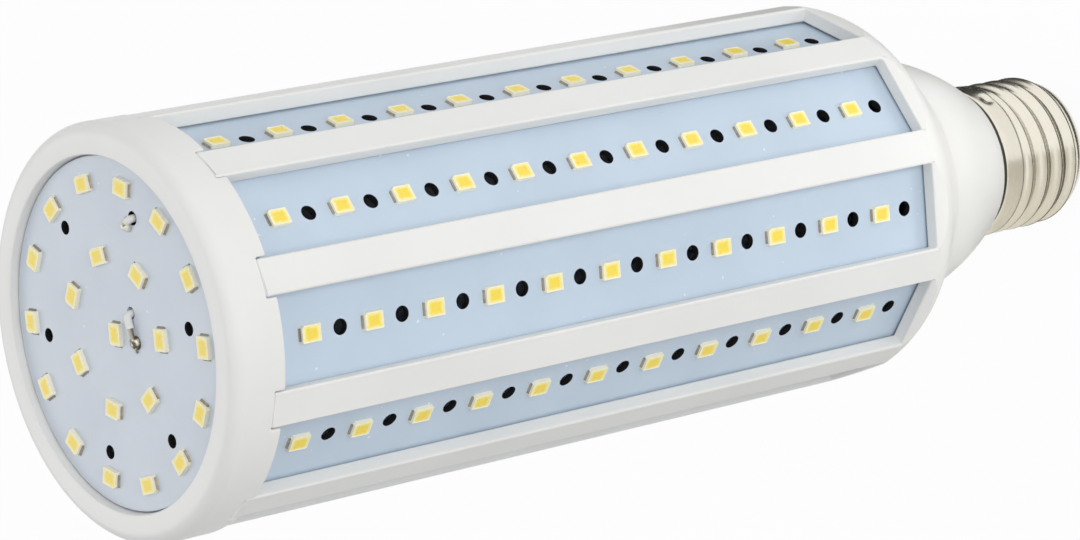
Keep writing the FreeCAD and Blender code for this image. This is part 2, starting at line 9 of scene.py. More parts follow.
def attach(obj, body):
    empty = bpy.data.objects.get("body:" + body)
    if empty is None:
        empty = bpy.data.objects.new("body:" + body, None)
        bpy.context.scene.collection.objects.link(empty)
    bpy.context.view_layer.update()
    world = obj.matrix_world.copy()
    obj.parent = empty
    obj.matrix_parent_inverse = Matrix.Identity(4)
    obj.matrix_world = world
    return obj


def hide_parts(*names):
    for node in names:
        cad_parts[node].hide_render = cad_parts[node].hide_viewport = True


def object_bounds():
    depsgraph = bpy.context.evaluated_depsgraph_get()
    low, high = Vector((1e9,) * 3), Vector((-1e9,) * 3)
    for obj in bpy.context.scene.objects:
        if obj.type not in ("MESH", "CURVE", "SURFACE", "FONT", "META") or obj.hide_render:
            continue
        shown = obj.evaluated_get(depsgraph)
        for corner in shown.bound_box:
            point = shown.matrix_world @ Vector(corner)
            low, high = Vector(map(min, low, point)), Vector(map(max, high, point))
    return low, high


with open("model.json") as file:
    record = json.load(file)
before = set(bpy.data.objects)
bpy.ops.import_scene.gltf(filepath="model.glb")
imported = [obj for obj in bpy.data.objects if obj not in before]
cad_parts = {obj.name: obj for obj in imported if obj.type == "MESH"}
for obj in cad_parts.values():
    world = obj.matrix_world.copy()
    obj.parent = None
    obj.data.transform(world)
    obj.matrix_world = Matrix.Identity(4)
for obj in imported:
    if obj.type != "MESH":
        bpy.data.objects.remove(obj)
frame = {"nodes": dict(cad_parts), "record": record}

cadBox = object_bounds()
scene = bpy.context.scene
scene.view_settings.view_transform = "Standard"
nodes = frame["nodes"]
print("frame loaded:", len(nodes), "nodes")

mm = 0.001  # the frame is in metres
upward = Vector((0, 0, 1))
mixFactor, mixFirst, mixSecond, mixResult = 0, 6, 7, 2  # sockets of a Mix node set to colours


def hexToLinear(text):
    channels = [int(text[i:i + 2], 16) / 255 for i in (1, 3, 5)]
    return tuple(c / 12.92 if c <= 0.04045 else ((c + 0.055) / 1.055) ** 2.4 for c in channels) + (1.0,)


def perMillimetre(width):
    return 1 / (width * mm)  # texture scale whose features are this many millimetres wide


def addNode(tree, kind, settings=None, values=None, links=None):
    node = tree.nodes.new(kind)
    for key, value in (settings or {}).items():
        setattr(node, key, value)
    for key, value in (values or {}).items():
        node.inputs[key].default_value = value
    for key, socket in (links or {}).items():
        tree.links.new(socket, node.inputs[key])
    return node


def newFinish(name, tones, toneWidth, roughness, grainWidth, relief,
              metal=0.0, ior=None, stretch=(1, 1, 1), driftDetail=3.0, grainDetail=2.0):
    # Two close tones drift over the surface, and a finer grain breaks up its gloss and its relief.
    material = bpy.data.materials.new(name)
    material.use_nodes = True
    tree = material.node_tree
    shader = tree.nodes["Principled BSDF"]
    shader.inputs["Metallic"].default_value = metal
    if ior:
        shader.inputs["IOR"].default_value = ior
    coords = addNode(tree, "ShaderNodeTexCoord").outputs["Object"]
    drift = addNode(tree, "ShaderNodeTexNoise", None,
                    {"Scale": perMillimetre(toneWidth), "Detail": driftDetail}, {"Vector": coords})
    drawn = addNode(tree, "ShaderNodeMapping", None, {"Scale": stretch}, {"Vector": coords})
    grain = addNode(tree, "ShaderNodeTexNoise", None,
                    {"Scale": perMillimetre(grainWidth), "Detail": grainDetail},
                    {"Vector": drawn.outputs["Vector"]})
    colour = addNode(tree, "ShaderNodeMix", {"data_type": "RGBA"},
                     {mixFirst: hexToLinear(tones[0]), mixSecond: hexToLinear(tones[1])},
                     {mixFactor: drift.outputs["Fac"]})
    gloss = addNode(tree, "ShaderNodeMapRange", None,
                    {"To Min": roughness[0], "To Max": roughness[1]}, {"Value": grain.outputs["Fac"]})
    bump = addNode(tree, "ShaderNodeBump", None,
                   {"Strength": relief[0], "Distance": relief[1] * mm}, {"Height": grain.outputs["Fac"]})
    tree.links.new(colour.outputs[mixResult], shader.inputs["Base Color"])
    tree.links.new(gloss.outputs["Result"], shader.inputs["Roughness"])
    tree.links.new(bump.outputs["Normal"], shader.inputs["Normal"])
    return material


# Widths are in mm. Relief is how strong the grain's bump is, and how deep in mm.
finishLooks = {
    # Injection moulded: faintly warm satin white. The mould's grain is 0.1 mm wide, drawn coarser here
    # so that it shows.
    "white_plastic": {
        "name": "mouldedPolycarbonate", "tones": ("#E4E3E0", "#EFEEEB"), "toneWidth": 24.0,
        "roughness": (0.36, 0.46), "grainWidth": 0.6, "relief": (0.12, 0.02), "ior": 1.58,
    },
    # Mask screen-printed on aluminium: cool satin white, cloudy where it is thin, with an orange-peel skin.
    "board_mask": {
        "name": "printedSolderMask", "tones": ("#BCCBDA", "#CAD9E8"), "toneWidth": 14.0,
        "roughness": (0.34, 0.46), "grainWidth": 0.9, "relief": (0.08, 0.02), "ior": 1.5,
    },
    # The same mask, a little lighter and greyer on the round board.
    "frontMask": {
        "name": "greyedSolderMask", "tones": ("#C7CFD9", "#D4DCE5"), "toneWidth": 11.0,
        "roughness": (0.34, 0.46), "grainWidth": 0.9, "relief": (0.08, 0.02), "ior": 1.5,
    },
    # Thin brass rolled to a thread and nickel plated: bright and faintly warm, with fine marks round it.
    "nickel_shell": {
        "name": "rolledNickelPlate", "tones": ("#E9E3D2", "#F6F2E6"), "toneWidth": 5.0,
        "roughness": (0.16, 0.34), "grainWidth": 0.25, "relief": (0.05, 0.01), "metal": 1.0,
        "stretch": (0.02, 0.02, 1.0),
    },
    # Tin worn through to yellow brass where the socket's spring rubs.
    "contact_metal": {
        "name": "tinnedBrass", "tones": ("#A99B7E", "#CFC4A8"), "toneWidth": 1.2,
        "roughness": (0.25, 0.45), "grainWidth": 0.4, "relief": (0.1, 0.02), "metal": 1.0,
    },
    # Pressed black glass: deep and shiny, with slow waves.
    "dark_insulator": {
        "name": "pressedGlass", "tones": ("#101114", "#1D1E22"), "toneWidth": 4.0,
        "roughness": (0.1, 0.2), "grainWidth": 3.0, "relief": (0.1, 0.03), "ior": 1.52,
    },
    # Green mask over glass-fibre laminate: the weave shows faintly through it.
    "circuit_board": {
        "name": "greenSolderMask", "tones": ("#1B4A25", "#24602F"), "toneWidth": 2.5,
        "roughness": (0.35, 0.5), "grainWidth": 0.8, "relief": (0.1, 0.02), "ior": 1.5,
    },
    # Shrunk PVC sleeve: black with a soft, slightly puckered shine.
    "black_sleeve": {
        "name": "shrinkSleeve", "tones": ("#141416", "#1F1F22"), "toneWidth": 3.0,
        "roughness": (0.3, 0.42), "grainWidth": 1.5, "relief": (0.1, 0.03), "ior": 1.53,
    },
    # Dipped epoxy case: glossy mustard with a dimpled skin.
    "film_case": {
        "name": "dippedEpoxyCase", "tones": ("#B58E1C", "#CDA52C"), "toneWidth": 3.0,
        "roughness": (0.25, 0.4), "grainWidth": 1.2, "relief": (0.1, 0.03), "ior": 1.55,
    },
    # Pressed and sintered ferrite: matt dark grey with an open grain.
    "ferrite": {
        "name": "sinteredFerrite", "tones": ("#262424", "#3A3636"), "toneWidth": 0.9,
        "roughness": (0.6, 0.8), "grainWidth": 0.4, "relief": (0.2, 0.03), "ior": 1.5,
    },
    # Transfer-moulded epoxy: black, matt and finely pitted.
    "black_epoxy": {
        "name": "mouldedEpoxy", "tones": ("#0E0E0F", "#19191A"), "toneWidth": 0.8,
        "roughness": (0.5, 0.65), "grainWidth": 0.3, "relief": (0.15, 0.02), "ior": 1.55,
    },
    # Thick baked lacquer: blue-grey, smooth, with sags.
    "resistor_coat": {
        "name": "bakedLacquer", "tones": ("#4E6570", "#617A86"), "toneWidth": 1.5,
        "roughness": (0.35, 0.5), "grainWidth": 0.8, "relief": (0.1, 0.02), "ior": 1.5,
    },
    # Extruded PVC: soft white, slightly greyed by handling.
    "lead_white": {
        "name": "extrudedPvc", "tones": ("#DEDDD8", "#EFEEEA"), "toneWidth": 1.5,
        "roughness": (0.4, 0.55), "grainWidth": 0.5, "relief": (0.1, 0.02), "ior": 1.53,
    },
    # Moulded polyamide of the LED packages: creamy white, tinted by the phosphor beside it.
    "led_package": {
        "name": "mouldedPolyamide", "tones": ("#F6EFD2", "#FCF8E6"), "toneWidth": 0.6,
        "roughness": (0.35, 0.5), "grainWidth": 0.3, "relief": (0.1, 0.02), "ior": 1.6,
    },
    # Reflowed tin: grey and dull, in small ripples.
    "solder": {
        "name": "reflowedTin", "tones": ("#6C6656", "#A8A293"), "toneWidth": 0.5,
        "roughness": (0.25, 0.45), "grainWidth": 0.3, "relief": (0.15, 0.02), "metal": 1.0,
    },
    # Joint wiped while it was hot: pale tin, dull and smeared.
    "wipedJoint": {
        "name": "wipedTin", "tones": ("#B4B1A6", "#E4E2DA"), "toneWidth": 0.7,
        "roughness": (0.35, 0.55), "grainWidth": 0.4, "relief": (0.3, 0.04), "metal": 0.6,
    },
    # Painted shade inside the drilled holes: a near-black lining with a rough, torn grain that makes each
    # hole read dark.
    "bore": {
        "name": "drilledLaminate", "tones": ("#0B0B0C", "#1B1B1D"), "toneWidth": 0.4,
        "roughness": (0.45, 0.7), "grainWidth": 0.2, "relief": (0.2, 0.03), "ior": 1.5,
    },
    # Painted shadow for the gap where the neck meets the shell: a dark, dull and uneven ring.
    "neckGapShadow": {
        "name": "darkSealant", "tones": ("#2A2822", "#403C34"), "toneWidth": 0.8,
        "roughness": (0.5, 0.7), "grainWidth": 0.4, "relief": (0.2, 0.03), "ior": 1.45,
    },
    # Painted reflections: matt sheets that only mirror rays see, so that only the nickel shows them. Black
    # paints the dark lines of its thread and the floor's shade round the base, cream paints its duller half.
    "blackCard": {
        "name": "blackCard", "tones": ("#1E1C1A", "#2B2926"), "toneWidth": 30.0,
        "roughness": (0.8, 0.9), "grainWidth": 1.0, "relief": (0.1, 0.02),
    },
    "creamCard": {
        "name": "creamCard", "tones": ("#FBF7EF", "#FFFBF3"), "toneWidth": 30.0,
        "roughness": (0.8, 0.9), "grainWidth": 1.0, "relief": (0.1, 0.02),
    },
}
finishes = {slot: newFinish(**look) for slot, look in finishLooks.items()}

dust = {"width": 0.9, "colour": "#E2E9F1", "share": (0.84, 0.88)}  # specks that stick to the mask
phosphorLook = {
    "name": "castSiliconePhosphor", "tones": ("#FADF58", "#FCF3B2"), "toneWidth": 0.6,
    "roughness": (0.25, 0.32), "grainWidth": 0.6, "relief": (0.1, 0.02), "ior": 1.41,
}
phosphorFade = {"from": 0.75, "to": 1.15, "lumps": 0.35}  # share of the way out, and how far lumps shift it
fluxLook = {
    "name": "fluxedSolder", "tones": ("#4E4128", "#C4C0B2"), "toneWidth": 0.9,
    "roughness": (0.22, 0.35), "grainWidth": 0.5, "relief": (0.3, 0.05),
}
fluxPatches = {"from": 0.45, "to": 0.62}  # range of the noise over which flux gives way to bare tin


def addDust(material):
    tree = material.node_tree
    base = tree.nodes["Principled BSDF"].inputs["Base Color"]
    coords = addNode(tree, "ShaderNodeTexCoord").outputs["Object"]
    specks = addNode(tree, "ShaderNodeTexNoise", None,
                     {"Scale": perMillimetre(dust["width"]), "Detail": 0.0}, {"Vector": coords})
    low, high = dust["share"]
    share = addNode(tree, "ShaderNodeMapRange", None, {"From Min": low, "From Max": high},
                    {"Value": specks.outputs["Fac"]})
    dusted = addNode(tree, "ShaderNodeMix", {"data_type": "RGBA"}, {mixSecond: hexToLinear(dust["colour"])},
                     {mixFactor: share.outputs["Result"], mixFirst: base.links[0].from_socket})
    tree.links.new(dusted.outputs[mixResult], base)


def siliconePhosphor():
    # Yellow phosphor cast in silicone: deeper over the chip in the middle, pale towards the rim.
    material = newFinish(**phosphorLook)
    tree = material.node_tree
    base = tree.nodes["Principled BSDF"].inputs["Base Color"]
    mix = base.links[0].from_node
    lumps = mix.inputs[mixFactor].links[0].from_socket
    reach = addNode(tree, "ShaderNodeAttribute", {"attribute_name": "reach"})
    shifted = addNode(tree, "ShaderNodeMath", {"operation": "MULTIPLY_ADD"}, {1: phosphorFade["lumps"]},
                      {0: lumps, 2: reach.outputs["Fac"]})
    fade = addNode(tree, "ShaderNodeMapRange", None,
                   {"From Min": phosphorFade["from"], "From Max": phosphorFade["to"]},
                   {"Value": shifted.outputs[0]})
    tree.links.new(fade.outputs["Result"], mix.inputs[mixFactor])
    return material


def fluxedSolder():
    # Soldered by hand: bright tin with amber flux burnt dark in patches.
    material = newFinish(**fluxLook)
    tree = material.node_tree
    shader = tree.nodes["Principled BSDF"]
    mix = shader.inputs["Base Color"].links[0].from_node
    bare = addNode(tree, "ShaderNodeMapRange", None,
                   {"From Min": fluxPatches["from"], "From Max": fluxPatches["to"]},
                   {"Value": mix.inputs[mixFactor].links[0].from_socket})
    tree.links.new(bare.outputs["Result"], mix.inputs[mixFactor])
    tree.links.new(bare.outputs["Result"], shader.inputs["Metallic"])
    return material


addDust(finishes["board_mask"])
addDust(finishes["frontMask"])
phosphor = siliconePhosphor()
jointFinishes = [finishes["lead_white"], finishes["solder"], fluxedSolder(), finishes["wipedJoint"]]

for part in frame["record"]["subparts"]:
    slots = nodes[part["node"]].data.materials
    slots.clear()
    slots.append(finishes[part["material_slot"]])
nodes["front_board"].data.materials[0] = finishes["frontMask"]
print("finishes made:", len(bpy.data.materials))


def newPiece(name, mesh):
    piece = bpy.data.objects.new(name, mesh)
    scene.collection.objects.link(piece)
    return piece


def addPiece(name, mesh, slot, *replaced):
    piece = newPiece(name, mesh)
    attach(piece, "root")
    if replaced:
        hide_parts(*replaced)
    return piece


def plainMesh(piece):
    depsgraph = bpy.context.evaluated_depsgraph_get()
    return bpy.data.meshes.new_from_object(piece.evaluated_get(depsgraph), depsgraph=depsgraph)


smoothBelow = {"rows": 30, "mouldings": 20, "shell": 50, "gapShadow": 40, "leads": 50}  # degrees between two faces


def roundOff(mesh, angle):
    mesh.polygons.foreach_set("use_smooth", [True] * len(mesh.polygons))
    mesh.set_sharp_from_angle(angle=math.radians(angle))
    mesh.update()
    return mesh


def closeMesh(name, bm):
    bmesh.ops.recalc_face_normals(bm, faces=bm.faces)
    mesh = bpy.data.meshes.new(name)
    bm.to_mesh(mesh)
    bm.free()
    return mesh


def skin(bm, rings, closed):
    # Quads between rings of equally many points, and from the last ring to the first where closed.
    faces = []
    count = len(rings[0])
    following = rings[1:] + rings[:1] if closed else rings[1:]
    for low, high in zip(rings, following):
        for i in range(count):
            j = (i + 1) % count
            faces.append(bm.faces.new((low[i], low[j], high[j], high[i])))
    if not closed:
        faces += [bm.faces.new(list(reversed(rings[0]))), bm.faces.new(rings[-1])]
    return faces


def loftMesh(name, loops, reaches=None):
    bm = bmesh.new()
    reach = bm.verts.layers.float.new("reach")  # how far out a point lies, for the phosphor
    rings = [[bm.verts.new(Vector(p) * mm) for p in loop] for loop in loops]
    for ring, share in zip(rings, reaches or [0.0] * len(rings)):
        for vert in ring:
            vert[reach] = share
    skin(bm, rings, False)
    return closeMesh(name, bm)


def ringMesh(name, outline, sides):
    # Closed ring about x, from (height, radius) pairs.
    turns = [2 * math.pi * i / sides for i in range(sides)]
    bm = bmesh.new()
    rings = [[bm.verts.new(Vector((x, r * math.cos(a), r * math.sin(a))) * mm) for a in turns]
             for x, r in outline]
    skin(bm, rings, True)
    return closeMesh(name, bm)


def stoodUp(mesh):
    # Turns a part from the side of the lamp to its end: x to z, y to x, z to y.
    for vert in mesh.vertices:
        x, y, z = vert.co
        vert.co = (y, z, x)
    return mesh


def rowTree(name, partCount):
    # Rows of parts along the lamp, repeated round it, each part with its own finish.
    tree = bpy.data.node_groups.new(name, "GeometryNodeTree")
    tree.interface.new_socket(name="Geometry", in_out="OUTPUT", socket_type="NodeSocketGeometry")
    sockets = [("Rows", "NodeSocketInt"), ("Row Pitch", "NodeSocketFloat"),
               ("First Height", "NodeSocketFloat"), ("Around", "NodeSocketInt"),
               ("Radius", "NodeSocketFloat"), ("First Turn", "NodeSocketFloat")]
    for number in range(partCount):
        sockets += [(f"Shape {number}", "NodeSocketObject"), (f"Finish {number}", "NodeSocketMaterial")]
    for label, kind in sockets:
        tree.interface.new_socket(name=label, in_out="INPUT", socket_type=kind)
    given = addNode(tree, "NodeGroupInput").outputs
    count = addNode(tree, "FunctionNodeIntegerMath", {"operation": "MULTIPLY"}, None,
                    {0: given["Rows"], 1: given["Around"]})
    index = addNode(tree, "GeometryNodeInputIndex").outputs[0]
    row = addNode(tree, "FunctionNodeIntegerMath", {"operation": "MODULO"}, None,
                  {0: index, 1: given["Rows"]})
    strip = addNode(tree, "FunctionNodeIntegerMath", {"operation": "DIVIDE_FLOOR"}, None,
                    {0: index, 1: given["Rows"]})
    step = addNode(tree, "ShaderNodeMath", {"operation": "DIVIDE"}, {0: 2 * math.pi}, {1: given["Around"]})
    turn = addNode(tree, "ShaderNodeMath", {"operation": "MULTIPLY_ADD"}, None,
                   {0: strip.outputs[0], 1: step.outputs[0], 2: given["First Turn"]})
    height = addNode(tree, "ShaderNodeMath", {"operation": "MULTIPLY_ADD"}, None,
                     {0: row.outputs[0], 1: given["Row Pitch"], 2: given["First Height"]})
    outward = addNode(tree, "ShaderNodeCombineXYZ", None, None,
                      {"X": given["Radius"], "Z": height.outputs[0]})
    place = addNode(tree, "ShaderNodeVectorRotate", {"rotation_type": "Z_AXIS"}, None,
                    {"Vector": outward.outputs[0], "Angle": turn.outputs[0]})
    points = addNode(tree, "GeometryNodePoints", None, None,
                     {"Count": count.outputs[0], "Position": place.outputs[0]})
    spin = addNode(tree, "ShaderNodeCombineXYZ", None, None, {"Z": turn.outputs[0]})
    spun = addNode(tree, "FunctionNodeEulerToRotation", None, None, {0: spin.outputs[0]})
    joined = addNode(tree, "GeometryNodeJoinGeometry")
    for number in range(partCount):
        shape = addNode(tree, "GeometryNodeObjectInfo", None, None, {"Object": given[f"Shape {number}"]})
        copies = addNode(tree, "GeometryNodeInstanceOnPoints", None, None,
                         {"Points": points.outputs[0], "Instance": shape.outputs["Geometry"],
                          "Rotation": spun.outputs[0]})
        solid = addNode(tree, "GeometryNodeRealizeInstances", None, None, {0: copies.outputs[0]})
        finished = addNode(tree, "GeometryNodeSetMaterial", None, None,
                           {"Geometry": solid.outputs[0], "Material": given[f"Finish {number}"]})
        tree.links.new(finished.outputs[0], joined.inputs[0])
    addNode(tree, "NodeGroupOutput", None, None, {0: joined.outputs[0]})
    return tree


def spreadOut(name, parts, runs):
    # Lays the parts out along each run, as one plain mesh.
    tree = rowTree(f"{name}Rows", len(parts))
    keys = {item.name: item.identifier for item in tree.interface.items_tree if item.in_out == "INPUT"}
    shapes = [newPiece(f"{name}Shape{i}", mesh) for i, (mesh, finish) in enumerate(parts)]
    order = [finish for mesh, finish in parts]
    whole = bmesh.new()
    for run in runs:
        carrier = newPiece(f"{name}Carrier", bpy.data.meshes.new(f"{name}Carrier"))
        rows = carrier.modifiers.new("rows", "NODES")
        rows.node_group = tree
        for label, value in run.items():
            rows[keys[label]] = value
        for i, finish in enumerate(order):
            rows[keys[f"Shape {i}"]] = shapes[i]
            rows[keys[f"Finish {i}"]] = finish
        laid = plainMesh(carrier)
        places = [order.index(finish) if finish else 0 for finish in laid.materials]
        for face in laid.polygons:
            face.material_index = places[face.material_index]
        whole.from_mesh(laid)
        bpy.data.objects.remove(carrier)
        bpy.data.meshes.remove(laid)
    mesh = bpy.data.meshes.new(name)
    whole.to_mesh(mesh)
    whole.free()
    for finish in order:
        mesh.materials.append(finish)
    for shape in shapes:
        bpy.data.objects.remove(shape)
    return roundOff(mesh, smoothBelow["rows"])


led = {
    "halfLong": 1.75, "halfWide": 1.4, "tall": 0.7,
    "draft": 0.05, "draftFrom": 0.4, "edge": 0.04,  # the draft starts at a share of the height
    "corner": 0.1, "mark": 0.42,  # one corner is cut deeper to mark the polarity
    "rim": 0.2, "recess": 0.1, "slope": 0.08, "windowCorner": 0.22,
    "windowInset": 0.6,  # share of the slope that the silicone leaves free
    "windowShares": (1.0, 1.0, 0.82, 0.55, 0.25),
    "windowRises": (-0.02, 0.05, 0.062, 0.07, 0.074),  # it swells a little to the middle
    "filletOut": 0.3, "filletRise": 0.4, "filletHalf": 1.0, "filletIn": 0.05,  # solder at each end
    "filletDip": (0.35, 0.32),  # shares of its reach and rise where it is hollow
}


def cutRectangle(height, halfLong, halfWide, corners):
    # Rectangle across x at this height, each corner cut by its own amount.
    a, b, c, d = corners
    return [
        (height, halfWide, halfLong - a), (height, halfWide - a, halfLong),
        (height, -halfWide + b, halfLong), (height, -halfWide, halfLong - b),
        (height, -halfWide, -halfLong + c), (height, -halfWide + c, -halfLong),
        (height, halfWide - d, -halfLong), (height, halfWide, -halfLong + d),
    ]


def ledBody():
    halfLong, halfWide, tall, rim = led["halfLong"], led["halfWide"], led["tall"], led["rim"]
    outside = [led["mark"]] + [led["corner"]] * 3
    window = [led["windowCorner"]] * 4
    drawn = led["draft"] + led["edge"]
    foot = rim + led["slope"]
    return loftMesh("ledBody", [
        cutRectangle(0, halfLong, halfWide, outside),
        cutRectangle(tall * led["draftFrom"], halfLong, halfWide, outside),
        cutRectangle(tall - led["edge"], halfLong - led["draft"], halfWide - led["draft"], outside),
        cutRectangle(tall, halfLong - drawn, halfWide - drawn, outside),
        cutRectangle(tall, halfLong - rim, halfWide - rim, window),
        cutRectangle(tall - led["recess"], halfLong - foot, halfWide - foot, window),
    ])


def ledWindow():
    inset = led["rim"] + led["slope"] * led["windowInset"]
    halfLong, halfWide, corner = led["halfLong"] - inset, led["halfWide"] - inset, led["windowCorner"]
    floor = led["tall"] - led["recess"]
    shares = led["windowShares"]
    loops = [cutRectangle(floor + h, halfLong * s, halfWide * s, [corner * s] * 4)
             for s, h in zip(shares, led["windowRises"])]
    return loftMesh("ledWindow", loops, shares)


def ledFillets():
    bm = bmesh.new()
    half, rise, out = led["filletHalf"], led["filletRise"], led["filletOut"]
    dipOut, dipRise = led["filletDip"]
    for end in (1, -1):
        foot, dip, body = [end * (led["halfLong"] + step) for step in (out, out * dipOut, -led["filletIn"])]
        outline = [(0, foot), (rise * dipRise, dip), (rise, body), (0, body)]
        skin(bm, [[bm.verts.new(Vector((x, y, z)) * mm) for x, z in outline] for y in (-half, half)], False)
    return closeMesh("ledFillets", bm)


def ledParts():
    return [(ledBody(), finishes["led_package"]), (ledWindow(), phosphor),
            (ledFillets(), finishes["solder"])]


sideRows = {"rows": 11, "pitch": 11.545, "strips": 10, "apothem": 28.4, "firstTurn": 18.0,
            "firstHole": 64.55, "ledAboveHole": 5.64}
frontRings = {
    "face": 200.5,
    "rings": ((14, 23.1, 7.7), (7, 12.0, 34.1), (1, 0.0, 160.0)),  # count, radius in mm, first turn
}


def sideRun(firstHeight):
    return {"Rows": sideRows["rows"], "Row Pitch": sideRows["pitch"] * mm, "First Height": firstHeight * mm,
            "Around": sideRows["strips"], "Radius": sideRows["apothem"] * mm,
            "First Turn": math.radians(sideRows["firstTurn"])}


def ringRun(count, radius, turn):
    return {"Rows": 1, "Row Pitch": 0.0, "First Height": frontRings["face"] * mm, "Around": count,
            "Radius": radius * mm, "First Turn": math.radians(turn)}


firstLed = sideRows["firstHole"] + sideRows["ledAboveHole"]
sideMesh = spreadOut("sideLeds", ledParts(), [sideRun(firstLed)])
sideNodes = [f"side_leds_{i:02d}" for i in range(1, sideRows["strips"] + 1)]
addPiece("sideLeds", sideMesh, "led_package", *sideNodes)
uprightLed = [(stoodUp(mesh), finish) for mesh, finish in ledParts()]
frontMesh = spreadOut("frontLeds", uprightLed, [ringRun(*ring) for ring in frontRings["rings"]])
addPiece("frontLeds", frontMesh, "led_package", "front_leds")
print("led packages laid:", len(sideMesh.polygons) + len(frontMesh.polygons), "faces")

vent = {"bore": 1.25, "frontBore": 1.1, "burr": 0.03, "depth": 1.15, "sides": 16,
        "lipGap": 0.01, "lipWidth": 0.2, "lipRise": 0.02, "lipCrest": 0.4,  # crest as a share of the width
        "frontRadius": 19.3, "frontTurns": (109.1, 167.3, 236.6, 290.3, 349.1, 50.9)}


def ventParts(bore, mask):
    # A near-black lining inside the drilled bore, painted shade that makes the hole read dark, and a raised
    # lip of mask round its mouth.
    depth = -vent["depth"]
    drilled = [(0, bore), (depth, bore), (depth, bore - vent["burr"])]
    shadeLining = ringMesh("ventShadeLining", drilled, vent["sides"])
    inner = bore + vent["lipGap"]
    crest, outer = inner + vent["lipWidth"] * vent["lipCrest"], inner + vent["lipWidth"]
    lip = ringMesh("ventLip", [(0, inner), (vent["lipRise"], crest), (0, outer)], vent["sides"])
    return [(shadeLining, finishes["bore"]), (lip, mask)]


sideVent = ventParts(vent["bore"], finishes["board_mask"])
addPiece("sideVents", spreadOut("sideVents", sideVent, [sideRun(sideRows["firstHole"])]), "board_mask")
frontVent = ventParts(vent["frontBore"], finishes["frontMask"])
uprightVent = [(stoodUp(mesh), finish) for mesh, finish in frontVent]
ventRuns = [ringRun(1, vent["frontRadius"], turn) for turn in vent["frontTurns"]]
addPiece("frontVents", spreadOut("frontVents", uprightVent, ventRuns), "board_mask")
print("vents lined")

# Moulded edges, in mm and degrees. Triangles that lie flat to each other are joined first.
soften = {"radius": 0.35, "segments": 3, "above": 35.0, "weld": 0.002, "flat": 0.5, "anyShape": 180}


def softCopy(node, name):
    bm = bmesh.new()
    bm.from_mesh(nodes[node].data)
    bmesh.ops.remove_doubles(bm, verts=bm.verts, dist=soften["weld"] * mm)
    bmesh.ops.join_triangles(bm, faces=bm.faces, angle_face_threshold=math.radians(soften["flat"]),
                             angle_shape_threshold=math.radians(soften["anyShape"]))
    mesh = bpy.data.meshes.new(name)
    bm.to_mesh(mesh)
    bm.free()
    mesh.materials.clear()
    mesh.materials.append(finishes["white_plastic"])
    sharp = newPiece(f"{name}Sharp", mesh)
    bevel = sharp.modifiers.new("edges", "BEVEL")
    bevel.width = soften["radius"] * mm
    bevel.segments = soften["segments"]
    bevel.limit_method = "ANGLE"
    bevel.angle_limit = math.radians(soften["above"])
    bevel.use_clamp_overlap = False
    rounded = roundOff(plainMesh(sharp), smoothBelow["mouldings"])
    bpy.data.objects.remove(sharp)
    return addPiece(name, rounded, "white_plastic", node)


lampBody = softCopy("lamp_body", "lampBody")
capRing = softCopy("cap_ring", "capRing")
print("mouldings softened:", len(lampBody.data.polygons) + len(capRing.data.polygons), "faces")

shell = {
    "bottom": 4.6, "mouth": 9.4, "curl": 2.0, "curlSteps": 9, "tube": 12.15, "sheet": 0.35,
    "crest": 13.15, "root": 12.2, "pitch": 3.629, "firstCrest": 8.4,
    "threadIn": (6.3, 8.4), "threadOut": (20.2, 21.3),  # heights over which the thread grows and fades
    "collar": 13.25, "rim": 26.0, "tuck": 25.0, "tucked": 12.85,  # the rim tucks in under the neck
    "tuckBend": ((0.05, 0.12), (0.18, 0.2)), "tuckRise": 0.22,  # steps inward and up
    "columns": 180, "step": 0.22, "innerEvery": 3,  # the inner wall takes every third height
    # Turn, height, depth and width of the two punch marks.
    "stakes": ((42.0, 22.4, 0.45, 1.3), (6.0, 24.9, 0.3, 0.5)),
}
# Ring of painted shadow in the gap under the neck's edge, in mm.
gapShadow = {"inner": 12.86, "outer": 13.0, "from": 25.15, "to": 26.28, "sides": 96}


def smoothStep(low, high, value):
    t = min(1.0, max(0.0, (value - low) / (high - low)))
    return t * t * (3 - 2 * t)


def shellRadius(turn, height):
    phase = 2 * math.pi * (height - shell["firstCrest"]) / shell["pitch"] - turn
    middle, depth = (shell["crest"] + shell["root"]) / 2, (shell["crest"] - shell["root"]) / 2
    wave = middle + depth * math.cos(phase)
    radius = shell["tube"] + (wave - shell["tube"]) * smoothStep(*shell["threadIn"], height)
    radius += (shell["collar"] - radius) * smoothStep(*shell["threadOut"], height)
    for where, level, dent, width in shell["stakes"]:
        away = math.remainder(turn - math.radians(where), 2 * math.pi) * shell["collar"]
        radius -= dent * math.exp(-(away ** 2 + (height - level) ** 2) / width ** 2)
    return radius


def shellOutline(turn):
    bottom, curl, tube, sheet, tuck = [shell[key] for key in ("bottom", "curl", "tube", "sheet", "tuck")]
    curlTop = bottom + curl
    heights = [curlTop + i * shell["step"] for i in range(int((tuck - curlTop) / shell["step"]) + 1)]
    arc = [math.radians(90 * i / shell["curlSteps"]) for i in range(shell["curlSteps"])]
    edge = shellRadius(turn, tuck)
    outline = [(shell["mouth"], bottom)]
    outline += [(tube - curl * (1 - math.sin(a)), curlTop - curl * math.cos(a)) for a in arc]
    outline += [(shellRadius(turn, h), h) for h in heights]
    outline += [(edge - inward, tuck + up) for inward, up in shell["tuckBend"]]
    outline += [(shell["tucked"], tuck + shell["tuckRise"])]
    outline += [(shell["tucked"], shell["rim"]), (shell["tucked"] - sheet, shell["rim"])]
    outline += [(shellRadius(turn, h) - sheet, h) for h in reversed(heights[::shell["innerEvery"]])]
    return outline + [(tube - curl, bottom + sheet), (shell["mouth"], bottom + sheet)]


